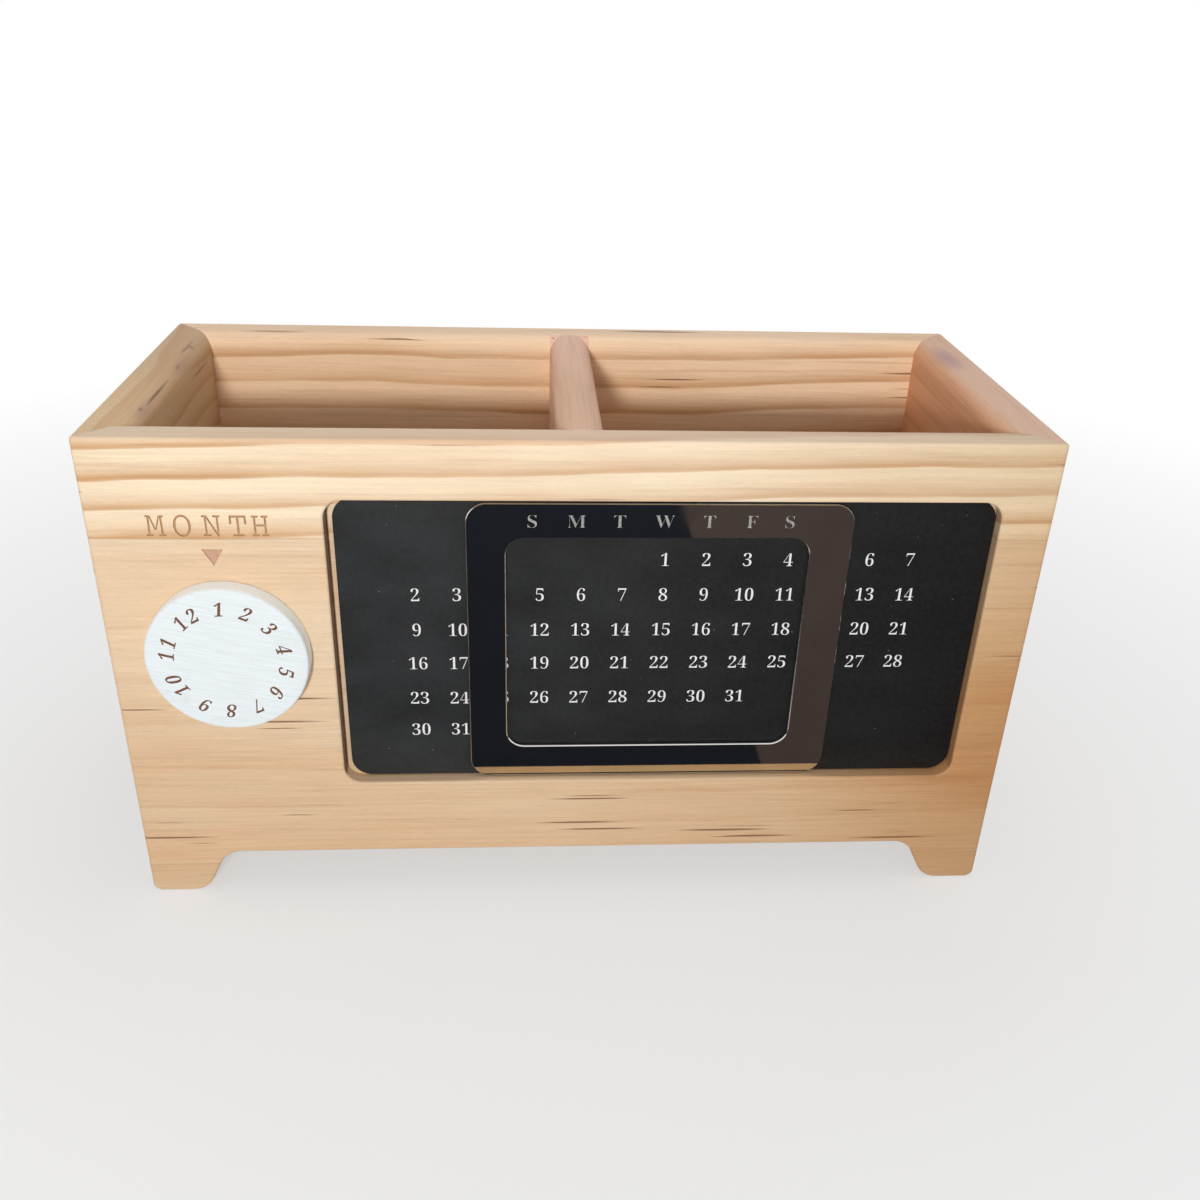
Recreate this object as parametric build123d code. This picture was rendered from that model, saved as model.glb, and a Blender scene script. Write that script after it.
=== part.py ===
"""Desk calendar box: a mitred pine box on four feet with two compartments for pens.

A pocket in the front board holds a steel plate printed with the days of the month. A polished steel
frame clings to the plate by two magnets and slides along the pocket to pick out one week order. A
round month dial turns beside it on a wooden spindle through the front board.

Millimetres. X runs to the right, Y to the back and Z up. The origin is on the ground, in the middle
of the whole object's width and depth, the dial's projection in front of the box included.
"""

from build123d import *
import os
from math import cos, radians, sin, tan

# ------------------------------------------------------------------ the box of boards
box_width = 200.0
box_depth = 85.0
box_height = 114.0
board_thickness = 10.0
divider_thickness = 10.0
divider_offset = 0.0            # middle of the divider, to the right of the box's middle
housing_depth = 3.0             # how far the divider is let into the front and back boards
floor_thickness = 4.0
floor_groove_depth = 4.0
floor_edge_play = 0.2           # room left round the floor board for the wood to move
floor_above_arch = 2.7          # wood left between the arches and the floor groove

# ------------------------------------------------------------------ arches and feet
arch_height = 11.3
foot_sole = 12.9                # length of a foot along the ground, before its edges are rounded
foot_slope = 64.0               # degrees from the ground, between the foot's two curves
foot_toe_radius = 5.6
arch_shoulder_radius = 5.5
foot_corner_radius = 2.5        # outer bottom corners of the feet, seen from the front

# ------------------------------------------------------------------ sanded edges
rim_radius = 4.0                # top inner edges, round both compartments
outer_top_radius = 0.8
corner_radius = 1.2             # the four upright corners
sanded_edge_radius = 0.6        # the edges of the arches, the soles and the pocket

# ------------------------------------------------------------------ pocket and calendar plate
pocket_depth = 3.5
pocket_to_right_edge = 11.4
pocket_to_top_edge = 13.1
pocket_to_ground = 31.0
pocket_corner_radius = 4.0
plate_thickness = 0.6
tape_thickness = 0.2
tape_margin = 3.0               # the tape stays this far inside the plate's outline
plate_gap_left = 1.4
plate_gap_right = 0.2
plate_gap_height = 0.4          # above and below the plate
corner_ease = 0.5               # how much rounder the plate's and frame's corners are than the pocket's

# ------------------------------------------------------------------ sliding frame and its magnets
frame_width = 81.7
frame_thickness = 0.6
frame_gap_below = 0.5           # the frame hangs low in the pocket, clear of its bottom edge
frame_gap_above = 1.0
frame_left_border = 8.3
frame_right_border = 8.9
frame_top_border = 7.9
frame_bottom_border = 8.2
window_corner_radius = 4.0
frame_bevel = 0.2
frame_middle = 16.9             # where the frame stands, to the right of the box's middle
magnet_width = 6.0
magnet_length = 44.0
magnet_thickness = 0.5
magnet_gap = 0.1                # running gap between the magnets and the plate

# ------------------------------------------------------------------ month dial and its spindle
dial_diameter = 34.0
dial_thickness = 3.9
dial_edge_radius = 0.6
dial_gap = 0.2                  # running gap between the dial and the front board
dial_to_left_edge = 25.7        # middle of the dial from the left face of the box
dial_to_pocket = 4.8            # wood left between the dial's rim and the pocket
dial_face_wood = 1.6            # wood left in front of the spindle's blind hole
spindle_diameter = 8.0
spindle_running_fit = 0.08      # radial clearance of the spindle in the front board
spindle_glue_fit = 0.05         # radial clearance of the spindle in the dial
spindle_end_play = 0.2
washer_diameter = 11.0
washer_thickness = 0.8
washer_hole_play = 0.2
screw_diameter = 3.0
screw_pilot_bite = 0.2          # how far the screw's thread cuts into the wood, measured radially
screw_tip_length = 2.0
screw_head_diameter = 6.0
screw_head_height = 2.0
screw_crown_radius = 1.4        # the rounded top edge of the screw's head
spindle_end_wood = 1.6          # wood left beyond the screw's point
well_wall_play = 1.0            # room round the washer in its well
well_head_play = 0.3            # how far the screw's head lies below the board's inner face

# ------------------------------------------------------------------ sizes that follow
dial_projection = dial_gap + dial_thickness
front_y = (dial_projection - box_depth) / 2
middle_y = front_y + box_depth / 2
inner_width = box_width - 2 * board_thickness
inner_depth = box_depth - 2 * board_thickness
floor_bottom = arch_height + floor_above_arch
floor_top = floor_bottom + floor_thickness

pocket_left = -box_width / 2 + dial_to_left_edge + dial_diameter / 2 + dial_to_pocket
pocket_right = box_width / 2 - pocket_to_right_edge
pocket_width = pocket_right - pocket_left
pocket_height = box_height - pocket_to_top_edge - pocket_to_ground
pocket_middle_x = (pocket_left + pocket_right) / 2
pocket_middle_z = pocket_to_ground + pocket_height / 2

tape_depth = pocket_depth - tape_thickness
plate_depth = tape_depth - plate_thickness
magnet_back = plate_depth - magnet_gap
frame_back = magnet_back - magnet_thickness
frame_face = frame_back - frame_thickness
frame_height = pocket_height - frame_gap_below - frame_gap_above
frame_middle_z = pocket_to_ground + frame_gap_below + frame_height / 2

dial_x = -box_width / 2 + dial_to_left_edge
dial_z = pocket_middle_z
well_depth = spindle_end_play + washer_thickness + screw_head_height + well_head_play
spindle_start = -(dial_projection - dial_face_wood)
spindle_end = board_thickness - well_depth + spindle_end_play
screw_reach = spindle_end - spindle_start - spindle_end_wood

overcut = 1.0                   # how far a cutting shape runs past the wood that it cuts
nearly = 0.001


# ------------------------------------------------------------------ drawing on the box's faces
front, right, back, left = 0, 90, 180, 270      # how far each side is turned from the front


def side_length(side):
    """The box's length along one of its sides."""
    return box_width if side in (front, back) else box_depth


def face_plane(side, depth):
    """A plane parallel to one outer face and that far behind it. Its normal points outwards."""
    reach = side_length(side + 90 if side < left else front) / 2 - depth
    along = (cos(radians(side)), sin(radians(side)), 0)
    outwards = (sin(radians(side)), -cos(radians(side)), 0)
    origin = (reach * outwards[0], middle_y + reach * outwards[1], 0)
    return Plane(origin=origin, x_dir=along, z_dir=outwards)


def slab(outline, near, far, side=front):
    """The solid with this outline between two depths behind an outer face."""
    return extrude(face_plane(side, far) * outline, far - near)


def panel(width, height, radius):
    """A rectangle with rounded corners, about its own middle."""
    return RectangleRounded(width, height, radius)


def block(x_range, y_range, z_range):
    """A square block between the given limits."""
    size = [high - low for low, high in (x_range, y_range, z_range)]
    middle = [(high + low) / 2 for low, high in (x_range, y_range, z_range)]
    return Pos(*middle) * Box(*size)


def rounded_at(outline, reach, height, radius):
    """Round the outline's two corners that stand this far left and right, at this height."""
    corners = [
        corner for corner in outline.vertices()
        if abs(abs(corner.X) - reach) < nearly and abs(corner.Y - height) < nearly
    ]
    return fillet(corners, radius)


# ------------------------------------------------------------------ the glued-up box
def arched_outline(length):
    """All that the arch and its two ogee feet leave of one side, past the sides and the top too."""
    toe = length / 2 - foot_sole
    shoulder = toe - arch_height / tan(radians(foot_slope))
    side = length / 2 + overcut
    right_half = [(shoulder, arch_height), (toe, 0), (side, 0), (side, box_height + overcut)]
    left_half = [(-x, z) for x, z in reversed(right_half)]
    outline = Polygon(*right_half, *left_half, align=None)
    outline = rounded_at(outline, shoulder, arch_height, arch_shoulder_radius)
    return rounded_at(outline, toe, 0, foot_toe_radius)


def divider_sides():
    """The left and right faces of the divider."""
    return (divider_offset - divider_thickness / 2, divider_offset + divider_thickness / 2)


def compartments():
    """The left and right limits of each compartment."""
    left_face, right_face = divider_sides()
    return [(-inner_width / 2, left_face), (right_face, inner_width / 2)]


def inner_depth_range():
    """The front and back limits of both compartments."""
    return (middle_y - inner_depth / 2, middle_y + inner_depth / 2)


def sanded_box():
    """The glued-up box with both compartments and its sanded edges, before the arches are sawn."""
    front_outline = Pos(0, box_height / 2) * Rectangle(box_width, box_height)
    wood = slab(rounded_at(front_outline, box_width / 2, 0, foot_corner_radius), 0, box_depth)
    wood &= extrude(Pos(0, middle_y) * RectangleRounded(box_width, box_depth, corner_radius), box_height)
    wood = fillet(wood.faces().sort_by(Axis.Z)[-1].edges(), outer_top_radius)
    for sides in compartments():
        wood -= block(sides, inner_depth_range(), (-overcut, box_height + overcut))
    rim = [
        edge for edge in wood.edges().filter_by_position(Axis.Z, box_height, box_height)
        if abs(edge.center().X) < inner_width / 2 + nearly
        and abs(edge.center().Y - middle_y) < inner_depth / 2 + nearly
    ]
    return fillet(rim, min(rim_radius, 0.45 * board_thickness, 0.45 * divider_thickness))


def mitred_region(side):
    """The wedge that one mitred board takes up in plan."""
    outer = side_length(side) / 2 + overcut
    inner = side_length(side) / 2 - board_thickness
    wedge = Polygon(
        (-outer, overcut), (-inner, -board_thickness), (inner, -board_thickness), (outer, overcut),
        align=None,
    )
    across = face_plane(side, 0)
    plan = Plane(origin=across.origin, x_dir=across.x_dir, z_dir=(0, 0, 1))
    return extrude(plan * mirror(wedge, Plane.XZ), box_height + overcut)


def floor_groove():
    """The space that the grooves and the inside of the box leave for the floor board."""
    reach_x = inner_width / 2 + floor_groove_depth
    reach_y = inner_depth / 2 + floor_groove_depth
    return block((-reach_x, reach_x), (middle_y - reach_y, middle_y + reach_y), (floor_bottom, floor_top))


def divider_space():
    """The divider's own space, its housings in the front and back boards included."""
    reach = inner_depth / 2 + housing_depth
    return block(divider_sides(), (middle_y - reach, middle_y + reach), (floor_top, box_height + overcut))


# ------------------------------------------------------------------ boards
def mitred_board(wood, side):
    """One side of the box, with its arch sawn out and the floor's groove inside."""
    arch = slab(arched_outline(side_length(side)), -overcut, board_thickness + overcut, side)
    return (wood & mitred_region(side) & arch) - floor_groove()


def sanded_arch(board, side):
    """The front or back board with the outer edge of its arch and soles sanded round."""
    outer_face = face_plane(side, 0)
    edges = [
        edge for edge in board.edges()
        if abs(outer_face.to_local_coords(edge.center()).Z) < nearly
        and edge.center().Z < arch_height + nearly
    ]
    return fillet(edges, sanded_edge_radius)


def front_board(wood):
    """The front board, with the calendar pocket, the spindle's bore and the well for its screw."""
    board = sanded_arch(mitred_board(wood, front), front) - divider_space()
    pocket_outline = Pos(pocket_middle_x, pocket_middle_z) * panel(
        pocket_width, pocket_height, pocket_corner_radius
    )
    board -= slab(pocket_outline, -overcut, pocket_depth)
    bore = Pos(dial_x, dial_z) * Circle(spindle_diameter / 2 + spindle_running_fit)
    board -= slab(bore, -overcut, board_thickness + overcut)
    well = Pos(dial_x, dial_z) * Circle(washer_diameter / 2 + well_wall_play)
    board -= slab(well, board_thickness - well_depth, board_thickness + overcut)
    pocket_rim = [
        edge for edge in board.edges().filter_by_position(Axis.Y, front_y, front_y)
        if abs(edge.center().X - pocket_middle_x) < pocket_width / 2 + nearly
        and abs(edge.center().Z - pocket_middle_z) < pocket_height / 2 + nearly
    ]
    return fillet(pocket_rim, sanded_edge_radius)


def back_board(wood):
    """The plain back board, with the divider's housing inside."""
    return sanded_arch(mitred_board(wood, back), back) - divider_space()


def floor_board():
    """The floor board, loose in the grooves by a little play for the wood to move."""
    reach_x = inner_width / 2 + floor_groove_depth - floor_edge_play
    reach_y = inner_depth / 2 + floor_groove_depth - floor_edge_play
    return block((-reach_x, reach_x), (middle_y - reach_y, middle_y + reach_y), (floor_bottom, floor_top))


def divider_board(wood):
    """The divider, let into the front and back boards and standing on the floor."""
    return wood & divider_space()


# ------------------------------------------------------------------ calendar plate
def plate_outline(margin):
    """The calendar plate's outline in the pocket, drawn in by a margin all round."""
    width = pocket_width - plate_gap_left - plate_gap_right
    height = pocket_height - 2 * plate_gap_height
    middle_x = pocket_middle_x + (plate_gap_left - plate_gap_right) / 2
    radius = pocket_corner_radius + corner_ease - margin
    outline = panel(width - 2 * margin, height - 2 * margin, radius)
    return Pos(middle_x, pocket_middle_z) * outline


def calendar_plate():
    """The thin steel plate that carries the days of the month."""
    return slab(plate_outline(0), plate_depth, tape_depth)


def plate_tape():
    """The adhesive sheet that holds the plate to the bottom of the pocket."""
    return slab(plate_outline(tape_margin), tape_depth, pocket_depth)


# ------------------------------------------------------------------ sliding frame
def slider_frame():
    """The polished frame, with its window and its bevelled front edges."""
    outline = Pos(frame_middle, frame_middle_z) * panel(
        frame_width, frame_height, pocket_corner_radius + corner_ease
    )
    window_width = frame_width - frame_left_border - frame_right_border
    window_height = frame_height - frame_top_border - frame_bottom_border
    window_x = frame_middle + (frame_left_border - frame_right_border) / 2
    window_z = frame_middle_z + (frame_bottom_border - frame_top_border) / 2
    window = Pos(window_x, window_z) * panel(window_width, window_height, window_corner_radius)
    frame = slab(outline - window, frame_face, frame_back)
    front_edges = frame.faces().sort_by(Axis.Y)[0].edges()
    return chamfer(front_edges, frame_bevel)


def frame_magnet(border_middle):
    """A magnet strip glued to the back of one upright border of the frame."""
    strip = Pos(border_middle, frame_middle_z) * Rectangle(magnet_width, magnet_length)
    return slab(strip, frame_back, magnet_back)


# ------------------------------------------------------------------ month dial
def dial_disc():
    """The white disc, with a rounded front edge and a blind hole behind for the spindle."""
    centre = Pos(dial_x, dial_z)
    disc = slab(centre * Circle(dial_diameter / 2), -dial_projection, -dial_gap)
    disc = fillet(disc.faces().sort_by(Axis.Y)[0].edges(), dial_edge_radius)
    hole = centre * Circle(spindle_diameter / 2 + spindle_glue_fit)
    return disc - slab(hole, spindle_start, overcut)


def dial_spindle():
    """The wooden spindle, glued into the dial and drilled from behind for its screw."""
    centre = Pos(dial_x, dial_z)
    spindle = slab(centre * Circle(spindle_diameter / 2), spindle_start, spindle_end)
    pilot = centre * Circle(screw_diameter / 2 - screw_pilot_bite)
    return spindle - slab(pilot, spindle_end - screw_reach, spindle_end + overcut)


def spindle_washer():
    """The washer under the screw's head, wider than the bore, that keeps the dial on."""
    ring = Circle(washer_diameter / 2) - Circle(screw_diameter / 2 + washer_hole_play)
    return slab(Pos(dial_x, dial_z) * ring, spindle_end, spindle_end + washer_thickness)


def spindle_screw():
    """The pan-head screw that holds the washer to the end of the spindle."""
    head_seat = spindle_end + washer_thickness
    head_top = head_seat + screw_head_height
    tip = spindle_end - screw_reach
    shank_radius = screw_diameter / 2
    head_radius = screw_head_diameter / 2
    half = Polygon(
        (0, tip), (shank_radius, tip + screw_tip_length), (shank_radius, head_seat),
        (head_radius, head_seat), (head_radius, head_top), (0, head_top),
        align=None,
    )
    screw = revolve(half, Axis.Y)
    screw = fillet(screw.faces().sort_by(Axis.Y)[-1].edges(), screw_crown_radius)
    return Pos(dial_x, front_y, dial_z) * screw


# ------------------------------------------------------------------ all pieces
def pieces():
    """Every piece of the object by name, in its place."""
    wood = sanded_box()
    left_border_middle = frame_middle - frame_width / 2 + frame_left_border / 2
    right_border_middle = frame_middle + frame_width / 2 - frame_right_border / 2
    return {
        "front_board": front_board(wood),
        "back_board": back_board(wood),
        "left_board": mitred_board(wood, left),
        "right_board": mitred_board(wood, right),
        "divider_board": divider_board(wood),
        "floor_board": floor_board(),
        "calendar_plate": calendar_plate(),
        "plate_tape": plate_tape(),
        "slider_frame": slider_frame(),
        "left_magnet": frame_magnet(left_border_middle),
        "right_magnet": frame_magnet(right_border_middle),
        "month_dial": dial_disc(),
        "dial_spindle": dial_spindle(),
        "spindle_washer": spindle_washer(),
        "spindle_screw": spindle_screw(),
    }


os.makedirs("parts", exist_ok=True)
for name, piece in pieces().items():
    export_step(piece, f"parts/{name}.step")
    print(f"{name}: {piece.volume / 1000:.2f} cm3")
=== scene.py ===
# %% [markdown]
# # A pine calendar box and its finishes
#
# The object is a small pine box with two compartments, which stands on a desk. A pocket in its front
# holds a black steel plate printed with the days of a month, and a polished frame slides along the
# pocket to pick out one order of the week. A white dial beside it turns to the month. The wood, the
# plate and the metal are already solid models at their real size. This lesson loads them, gives every
# surface its finish, and models what the solids leave plain: the printed days, the etched initials, the
# dial's numerals, the engraved label and the cross recess of a screw.

# %% Load the solid model
from math import cos, radians, sin

import bpy
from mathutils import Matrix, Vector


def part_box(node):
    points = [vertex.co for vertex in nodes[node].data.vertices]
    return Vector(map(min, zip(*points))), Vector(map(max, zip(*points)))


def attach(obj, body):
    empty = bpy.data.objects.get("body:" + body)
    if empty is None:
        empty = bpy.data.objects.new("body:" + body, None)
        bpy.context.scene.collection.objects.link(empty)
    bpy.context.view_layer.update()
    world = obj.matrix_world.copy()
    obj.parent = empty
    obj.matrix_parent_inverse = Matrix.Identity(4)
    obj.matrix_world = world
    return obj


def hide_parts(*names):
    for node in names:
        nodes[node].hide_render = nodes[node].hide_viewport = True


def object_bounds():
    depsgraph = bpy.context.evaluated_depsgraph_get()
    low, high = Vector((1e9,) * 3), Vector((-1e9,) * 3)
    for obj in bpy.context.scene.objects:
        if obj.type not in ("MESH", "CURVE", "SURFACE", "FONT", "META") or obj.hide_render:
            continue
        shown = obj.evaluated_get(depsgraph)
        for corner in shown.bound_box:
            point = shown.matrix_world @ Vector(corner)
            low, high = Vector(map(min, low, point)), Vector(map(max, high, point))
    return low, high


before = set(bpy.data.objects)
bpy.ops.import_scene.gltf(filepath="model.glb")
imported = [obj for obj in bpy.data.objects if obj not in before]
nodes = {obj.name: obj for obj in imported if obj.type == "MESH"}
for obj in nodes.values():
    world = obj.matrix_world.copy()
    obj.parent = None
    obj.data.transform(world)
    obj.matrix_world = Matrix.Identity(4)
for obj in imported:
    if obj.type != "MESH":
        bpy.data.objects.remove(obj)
solid_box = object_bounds()
mm = 0.001
print("loaded", len(nodes), "pieces:", ", ".join(sorted(nodes)))

# %% [markdown]
# ## The camera
#
# The photograph was taken by hand from a little above the box, close to it and slightly left of its
# middle. The camera's place and angles were worked out from the corners of the box in the picture, so
# the render can be laid over the photograph and compared. A wide field of view, from close by, gives the
# strong narrowing of the box towards its feet.

# %% Camera
bpy.ops.object.select_all(action="DESELECT")
bpy.ops.object.camera_add(
    location=(-12.36 * mm, -261.54 * mm, 195.72 * mm),
    rotation=(radians(62.08), radians(-1.71), radians(-3.42)),
)
camera = bpy.context.object
camera.name = "hand_camera"
camera.data.lens = 35.3
camera.data.clip_start = 0.01
bpy.context.scene.camera = camera
print("camera at", [round(value, 3) for value in camera.location])

# %% [markdown]
# ## Small helpers for shader nodes
#
# Every finish here is a network of nodes. Adding each node by hand takes four lines, so a few helpers
# come first: one adds a node and feeds its inputs, and the others do the sums that are used most.
# A value that is a socket is linked, and any other value is simply set.

# %% Helpers that add a node
def feed(tree, socket, value):
    """Link a socket to another node's output, or set it to a plain value."""
    if isinstance(value, bpy.types.NodeSocket):
        tree.links.new(value, socket)
    elif socket.type == "RGBA" and len(value) == 3:
        socket.default_value = (*value, 1.0)
    else:
        socket.default_value = value


def add(tree, kind, *values, **options):
    """Add one shader node, set its options and feed its inputs in order."""
    node = tree.nodes.new("ShaderNode" + kind)
    for option, choice in options.items():
        setattr(node, option, choice)
    for socket, value in zip(node.inputs, values):
        feed(tree, socket, value)
    return node


def feed_named(tree, node, values):
    """Feed the inputs of a node that are called by their names."""
    for name, value in values.items():
        feed(tree, node.inputs[name], value)


def calc(tree, operation, *values):
    """One sum, product, power or comparison."""
    return add(tree, "Math", *values, operation=operation).outputs[0]


def stretch(tree, place, scales):
    """Multiply the three parts of a place, which stretches the pattern that is read there."""
    return add(tree, "VectorMath", place, scales, operation="MULTIPLY").outputs[0]


print("nodes can be added")

# %% [markdown]
# Wood, dust and brush marks are all uneven, and smooth noise gives that. Stretching the place before the
# noise reads it draws the clouds out into fibres. A range or a ramp then picks the part of the noise that
# shows, and a mix of two colours paints it.

# %% Helpers for patterns and colours
def noise(tree, place, detail=2.0, roughness=0.5):
    """Cloudy noise from 0 to 1, about one cloud per unit."""
    node = add(tree, "TexNoise", noise_dimensions="3D")
    feed_named(tree, node, {"Vector": place, "Scale": 1.0, "Detail": detail, "Roughness": roughness})
    return node.outputs[0]


def remap(tree, value, from_low, from_high, to_low=0.0, to_high=1.0):
    """Carry one range of a value over to another, clamped at both ends."""
    node = add(tree, "MapRange", value, from_low, from_high, to_low, to_high, clamp=True)
    return node.outputs[0]


def blend(tree, factor, first, second, mode="MIX"):
    """Mix two colours."""
    node = add(tree, "Mix", data_type="RGBA", blend_type=mode)
    for index, value in ((0, factor), (6, first), (7, second)):
        feed(tree, node.inputs[index], value)
    return node.outputs[2]


def curve(tree, value, *stops):
    """A ramp through stops, each a place from 0 to 1 and a grey value or a colour."""
    node = add(tree, "ValToRGB", value)
    elements = node.color_ramp.elements
    elements.remove(elements[1])
    for number, (place, shade) in enumerate(stops):
        element = elements[0] if number == 0 else elements.new(place)
        element.position = place
        element.color = (shade, shade, shade, 1) if isinstance(shade, (int, float)) else (*shade, 1)
    return node.outputs[0]


print("patterns can be mixed")

# %% [markdown]
# A finish is a material whose Principled shader gets the patterns. They are read at the point on the
# object itself, in millimetres, so a number in a finish can be measured on the real thing with a ruler,
# and no unwrapping is needed. Fine relief, such as open grain, is far too small to model and comes from
# a bump node.

# %% Helpers for a material
def new_finish(name):
    """A new material with its tree and its Principled shader."""
    material = bpy.data.materials.new(name)
    material.use_nodes = True
    return material, material.node_tree, material.node_tree.nodes["Principled BSDF"]


def millimetres(tree):
    """The point on the object's surface, in millimetres."""
    return stretch(tree, add(tree, "TexCoord").outputs["Object"], (1000, 1000, 1000))


def relief(tree, shader, height, distance, strength=1.0):
    """Give a shader fine relief from a height pattern, with its depth in metres."""
    node = add(tree, "Bump")
    feed_named(tree, node, {"Height": height, "Distance": distance, "Strength": strength})
    tree.links.new(node.outputs["Normal"], shader.inputs["Normal"])


print("materials can be made")

# %% [markdown]
# ## Floor, sky and lamps
#
# The stage is plain: a pale floor, a white surround and soft lamps. The floor fades to pure white away
# from the box, for the camera and for reflections alone, so that the light on the box stays as it is and
# the box keeps its shadow.

# %% Floor
bpy.ops.mesh.primitive_circle_add(vertices=96, radius=4.0, fill_type="NGON")
floor = bpy.context.object
floor.name = "floor"

floor_paint, tree, shader = new_finish("pale floor")
floor_grey = (0.80, 0.80, 0.80)
feed_named(tree, shader, {"Base Color": floor_grey, "Roughness": 0.85, "Specular IOR Level": 0.2})
rays = add(tree, "LightPath")
seen = calc(tree, "MAXIMUM", rays.outputs["Is Camera Ray"], rays.outputs["Is Glossy Ray"])
seen = calc(tree, "MAXIMUM", seen, rays.outputs["Is Transmission Ray"])
floor_point = add(tree, "TexCoord").outputs["Object"]
from_box = add(tree, "VectorMath", floor_point, operation="LENGTH").outputs["Value"]
fade_start, fade_end = 0.12, 0.42
fade = calc(tree, "MULTIPLY", remap(tree, from_box, fade_start, fade_end, 0.50, 1.0), seen)
glow = add(tree, "Emission", (1.0, 1.0, 1.0), 1.0)
mixed = add(tree, "MixShader", fade, shader.outputs[0], glow.outputs[0])
tree.links.new(mixed.outputs[0], tree.nodes["Material Output"].inputs["Surface"])
floor.data.materials.append(floor_paint)
print("floor of", round(floor.dimensions.x, 1), "m, pure white from", fade_end, "m outwards")

# %% [markdown]
# A mirror shows the room and not itself. The frame in the picture looks dark, blue-black at the left and
# brown at the right, with a golden strip along its bottom, so two dark cards lie in front of the box and a
# narrow golden one lies under the frame. They are hidden from the camera and from every ray but the glossy
# ones, so that the frame reflects them while the floor stays white and the light stays the same.

# %% Cards for the reflections
def reflector(name, left, right, near, far, height, shade):
    """A level card that only reflections show."""
    bpy.ops.object.select_all(action="DESELECT")
    middle = ((left + right) / 2, (near + far) / 2, height)
    bpy.ops.mesh.primitive_plane_add(size=1, location=middle)
    card = bpy.context.object
    card.name = name
    card.scale = (right - left, far - near, 1)
    paint, tree, shader = new_finish(name)
    feed_named(tree, shader, {"Base Color": shade, "Roughness": 0.9, "Specular IOR Level": 0.0})
    card.data.materials.append(paint)
    for rays in ("camera", "diffuse", "transmission", "shadow", "volume_scatter"):
        setattr(card, "visible_" + rays, False)
    return card


cards_end, cards_meet = 400 * mm, 55 * mm
cards_near, cards_far, cards_height = -420 * mm, -62 * mm, 1 * mm
blue_shade, brown_shade, golden_shade = (0.020, 0.024, 0.033), (0.105, 0.080, 0.073), (0.90, 0.58, 0.29)

blue_card = reflector(
    "blue_card", -cards_end, cards_meet, cards_near, cards_far, cards_height, blue_shade
)
brown_card = reflector(
    "brown_card", cards_meet, cards_end, cards_near, cards_far, cards_height, brown_shade
)
golden_card = reflector(
    "golden_card", -70 * mm, 95 * mm, -43.0 * mm, -40.5 * mm, 31 * mm, golden_shade
)
print("cards:", blue_card.name, brown_card.name, golden_card.name)

# %% [markdown]
# The surround does two things at once. The camera and the mirror see it pure white, as the background of
# the picture is, while it lights the wood only softly. A light path node tells the two apart, so each
# strength can be set by itself.

# %% Surround
sky = bpy.data.worlds.new("white surround")
bpy.context.scene.world = sky
sky.use_nodes = True
tree = sky.node_tree
tree.nodes.clear()
sky_strength = 0.38
rays = add(tree, "LightPath")
seen = calc(tree, "MAXIMUM", rays.outputs["Is Camera Ray"], rays.outputs["Is Glossy Ray"])
seen = calc(tree, "MAXIMUM", seen, rays.outputs["Is Transmission Ray"])
light = add(tree, "Background", (1.0, 1.0, 1.0), sky_strength)
white = add(tree, "Background", (1.0, 1.0, 1.0), 1.0)
mixed = add(tree, "MixShader", seen, light.outputs[0], white.outputs[0])
output = add(tree, "OutputWorld")
tree.links.new(mixed.outputs[0], output.inputs["Surface"])
print("surround lights the box at", sky_strength)

# %% [markdown]
# Window light from the front and a little left, low enough to leave the bottom of the compartments in
# shade, gives the wood its modelling. It is a small square lamp, because the shadow of the front rim on
# the back board has a fairly crisp edge. A wide lamp above fills the rest.

# %% Lamps
def soft_lamp(name, place, target, size, watts, colour):
    """A square lamp that faces a target point."""
    bpy.ops.object.light_add(type="AREA", location=place)
    lamp = bpy.context.object
    lamp.name = name
    lamp.data.size = size
    lamp.data.energy = watts
    lamp.data.color = colour
    aim = bpy.data.objects[name].location - target
    lamp.rotation_euler = aim.to_track_quat("Z", "Y").to_euler()
    return lamp


box_middle = (solid_box[0] + solid_box[1]) / 2
window_place, window_size, window_watts = (-0.13, -0.80, 0.30), 0.075, 3.7
ceiling_place, ceiling_size, ceiling_watts = (0.15, 0.1, 1.3), 0.9, 3.0
warm_light, cool_light = (1.0, 0.97, 0.93), (0.96, 0.98, 1.0)

window_light = soft_lamp(
    "window_light", window_place, box_middle, window_size, window_watts, warm_light
)
ceiling_light = soft_lamp(
    "ceiling_light", ceiling_place, box_middle, ceiling_size, ceiling_watts, cool_light
)
bpy.context.scene.view_settings.view_transform = "Standard"
print("lamps:", window_light.name, ceiling_light.name)

# %% [markdown]
# ## Pine
#
# A pine board is glued up from staves, each sawn from another part of a log, so each stave has its own
# tint, contrast and heart, with a thin glue line between two staves. The whole pattern is worked out in
# space and not on the surface, so the lines run over the rims and round the edges as they do in solid
# wood. The point is first turned so that its three parts run along the grain, across the face and into
# the board, and then one recipe serves all five boards.

# %% Pine: places along and across the grain
def grain_place(tree, axes, shift):
    """The surface point in millimetres, turned so that its first part runs along the grain."""
    parts = add(tree, "SeparateXYZ", millimetres(tree))
    turned = add(tree, "CombineXYZ", *(parts.outputs[axis] for axis in axes))
    return add(tree, "VectorMath", turned.outputs[0], shift, operation="ADD").outputs[0]


def pick_stave(tree, height, staves, key):
    """The value of one property in the stave that a point lies in."""
    value = staves[0][key]
    for stave in staves[1:]:
        above = calc(tree, "GREATER_THAN", height, stave["from"])
        value = blend(tree, above, value, stave[key])
    return value


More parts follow.
